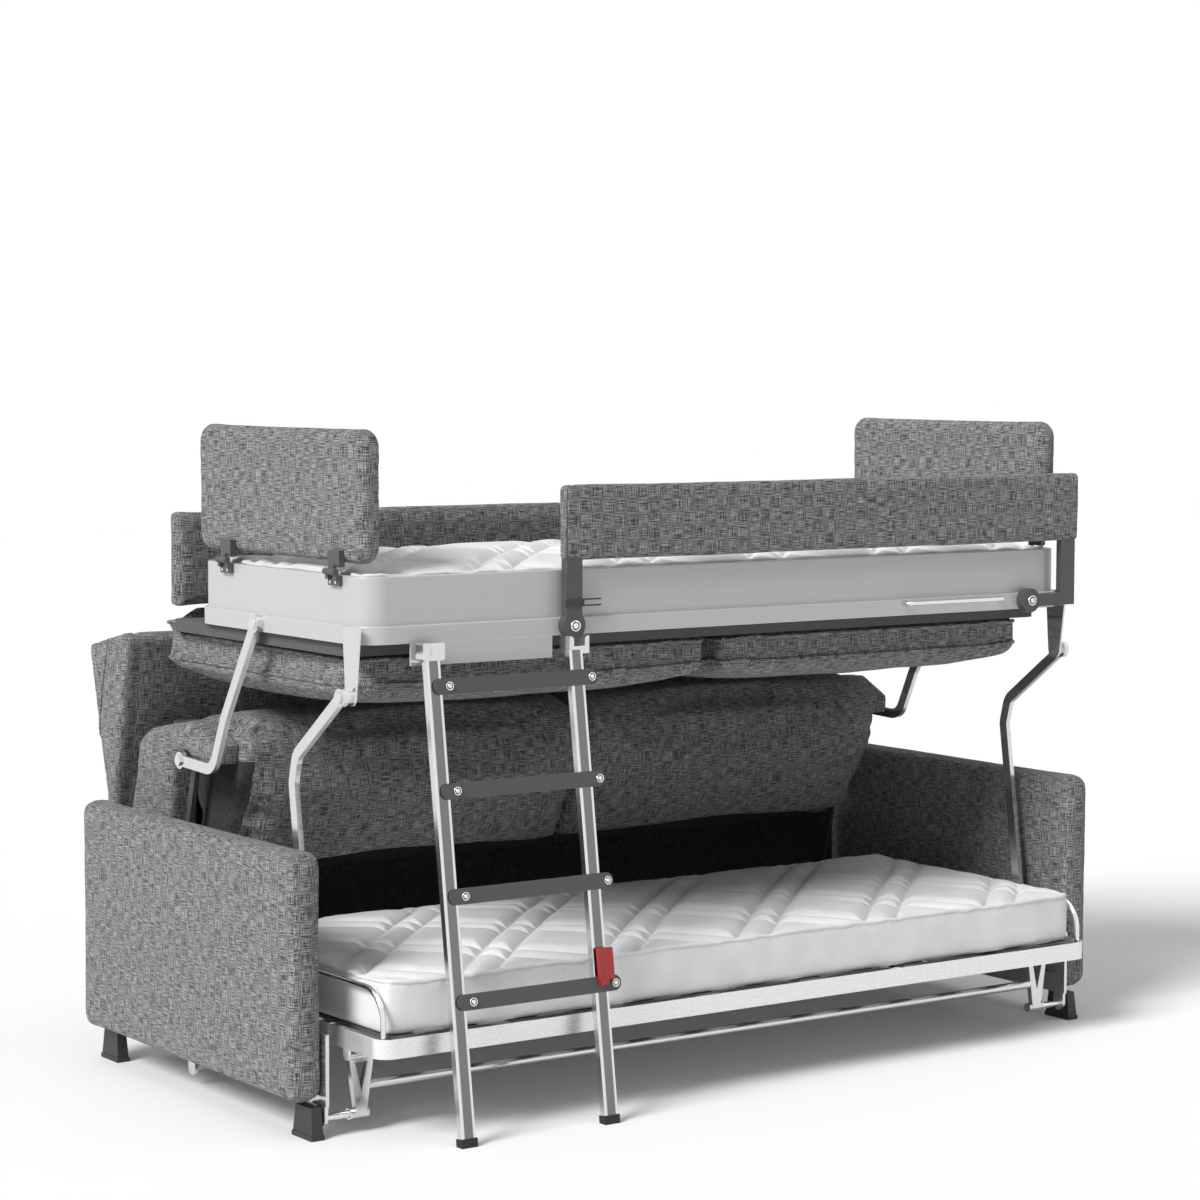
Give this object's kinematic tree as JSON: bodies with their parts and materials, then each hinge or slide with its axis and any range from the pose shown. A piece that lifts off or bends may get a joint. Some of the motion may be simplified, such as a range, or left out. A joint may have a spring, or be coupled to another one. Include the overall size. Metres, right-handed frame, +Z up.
{
  "type": "sofa bunk bed",
  "caption": "Upholstered sofa in its bunk position: tray bunk on bent swing arms, folding ladder, guard, head panels and a lower mattress between padded armrests.",
  "frame": {"origin": "on the floor, under the middle of the whole outline", "axes": "+Z up, front of the sofa towards -Y, +X to the right seen from the front"},
  "size_m": [2.2, 1.3512, 1.447],
  "materials": {
    "upholstery": "melange woven upholstery, mid grey",
    "quilt": "quilted mattress ticking, white grey",
    "tray_metal": "satin formed sheet",
    "bright_metal": "brushed bar and tube",
    "chrome": "polished",
    "dark_paint": "satin dark grey",
    "dark_plastic": "matt",
    "rubber": "matt",
    "black_cloth": "thin lining cloth",
    "board": "plain board",
    "red_plastic": "satin red"
  },
  "bodies": {
    "root": {"left_armrest": "upholstery", "right_armrest": "upholstery", "feet": "dark_plastic", "left_side_frame": "bright_metal", "right_side_frame": "bright_metal", "rear_cross_rail": "dark_paint", "base_lining": "black_cloth", "back_struts": "dark_paint", "pivot_pins": "chrome", "ladder_right_stile": "bright_metal", "ladder_right_foot": "rubber", "ladder_right_bolts": "chrome", "ladder_fork": "bright_metal"},
    "front_arms": {"left_front_arm": "bright_metal", "right_front_arm": "bright_metal"},
    "rear_arms": {"left_rear_arm": "bright_metal", "right_rear_arm": "bright_metal", "rear_arm_bolts": "chrome"},
    "bunk": {"bunk_tray": "tray_metal", "bunk_band": "tray_metal", "seat_board": "board", "upper_mattress": "quilt", "left_seat_cushion": "upholstery", "right_seat_cushion": "upholstery", "front_apron": "upholstery", "apron_rails": "dark_paint", "pivot_brackets": "bright_metal", "front_arm_bolts": "chrome", "pull_handle": "chrome", "ladder_hook_plate": "tray_metal", "guard_frame": "dark_paint", "guard_sleeve": "upholstery", "tray_bolts": "chrome", "guard_clip": "dark_plastic", "hinge_blocks": "dark_paint"},
    "left_head": {"left_head_panel": "upholstery", "left_panel_leaves": "dark_paint"},
    "right_head": {"right_head_panel": "upholstery", "right_panel_leaves": "dark_paint"},
    "backrest": {"left_back_cushion": "upholstery", "right_back_cushion": "upholstery", "left_back_wing": "upholstery", "right_back_wing": "upholstery", "rear_hood": "upholstery", "back_board": "board"},
    "front_leg_pair": {"front_legs": "bright_metal"},
    "rear_leg_pair": {"rear_legs": "bright_metal"},
    "lower_bed": {"lower_band": "tray_metal", "lower_slats": "board", "lower_mattress": "quilt", "end_hoops": "chrome"},
    "rung_1": {"ladder_rung_1": "dark_paint"},
    "rung_2": {"ladder_rung_2": "dark_paint"},
    "rung_3": {"ladder_rung_3": "dark_paint"},
    "rung_4": {"ladder_rung_4": "dark_paint"},
    "ladder_left": {"ladder_left_stile": "bright_metal", "ladder_left_head": "bright_metal", "ladder_left_foot": "rubber", "ladder_left_bolts": "chrome"},
    "latch": {"ladder_latch": "red_plastic"}
  },
  "joints": [
    {"name": "bunk_fold", "type": "hinge", "parent": "root", "child": "front_arms", "pos_m": [0, -0.34145, 0.15], "axis": [-1, 0, 0], "range_deg": [0, 38.38]},
    {"name": "bunk_tilt", "type": "hinge", "parent": "front_arms", "child": "bunk", "pos_m": [0, -0.45745, 0.9], "axis": [1, 0, 0], "range_deg": [0, 83.4]},
    {"name": "rear_arm_swing", "type": "hinge", "parent": "root", "child": "rear_arms", "pos_m": [0, 0.26255, 0.697], "axis": [-1, 0, 0], "range_deg": [0, 40.45]},
    {"name": "backrest_lean", "type": "hinge", "parent": "root", "child": "backrest", "pos_m": [0, 0.47255, 0.43], "axis": [-1, 0, 0], "range_deg": [0, 20]},
    {"name": "lower_bed_sink", "type": "hinge", "parent": "root", "child": "front_leg_pair", "pos_m": [0, -0.43245, 0.04], "axis": [-1, 0, 0], "range_deg": [0, 70]},
    {"name": "rear_leg_swing", "type": "hinge", "parent": "root", "child": "rear_leg_pair", "pos_m": [0, 0.12755, 0.04], "axis": [-1, 0, 0], "range_deg": [0, 70]},
    {"name": "lower_bed_level", "type": "hinge", "parent": "front_leg_pair", "child": "lower_bed", "pos_m": [0, -0.44245, 0.165], "axis": [-1, 0, 0], "range_deg": [-70, 0]},
    {"name": "left_panel_fold", "type": "hinge", "parent": "bunk", "child": "left_head", "pos_m": [-0.973, -0.15745, 1.151], "axis": [0, -1, 0], "range_deg": [0, 90]},
    {"name": "right_panel_fold", "type": "hinge", "parent": "bunk", "child": "right_head", "pos_m": [0.973, -0.15745, 1.151], "axis": [0, 1, 0], "range_deg": [0, 90]},
    {"name": "ladder_fold", "type": "hinge", "parent": "root", "child": "rung_1", "pos_m": [-0.441, -0.62425, 0.286], "axis": [0, 0.9903, -0.1392], "range_deg": [0, 45]},
    {"name": "rung_2_turn", "type": "hinge", "parent": "root", "child": "rung_2", "pos_m": [-0.441, -0.59461, 0.49693], "axis": [0, 0.9903, -0.1392], "range_deg": [0, 45]},
    {"name": "rung_3_turn", "type": "hinge", "parent": "root", "child": "rung_3", "pos_m": [-0.441, -0.56496, 0.70785], "axis": [0, 0.9903, -0.1392], "range_deg": [0, 45]},
    {"name": "rung_4_turn", "type": "hinge", "parent": "root", "child": "rung_4", "pos_m": [-0.441, -0.53532, 0.91878], "axis": [0, 0.9903, -0.1392], "range_deg": [0, 45]},
    {"name": "ladder_left_lift", "type": "hinge", "parent": "rung_1", "child": "ladder_left", "pos_m": [-0.793, -0.62425, 0.286], "axis": [0, 0.9903, -0.1392], "range_deg": [-45, 0]},
    {"name": "latch_swing", "type": "hinge", "parent": "rung_1", "child": "latch", "pos_m": [-0.473, -0.62369, 0.28996], "axis": [0, -0.9903, 0.1392], "range_deg": [0, 35]}
  ],
  "couplings": [
    {"joint": "bunk_tilt", "follows": "bunk_fold", "ratio": 2.1725},
    {"joint": "rear_arm_swing", "follows": "bunk_fold", "ratio": 1.0529},
    {"joint": "backrest_lean", "follows": "bunk_fold", "ratio": 0.521},
    {"joint": "rear_leg_swing", "follows": "lower_bed_sink", "ratio": 1},
    {"joint": "lower_bed_level", "follows": "lower_bed_sink", "ratio": -1},
    {"joint": "rung_2_turn", "follows": "ladder_fold", "ratio": 1},
    {"joint": "rung_3_turn", "follows": "ladder_fold", "ratio": 1},
    {"joint": "rung_4_turn", "follows": "ladder_fold", "ratio": 1},
    {"joint": "ladder_left_lift", "follows": "ladder_fold", "ratio": -1}
  ]
}
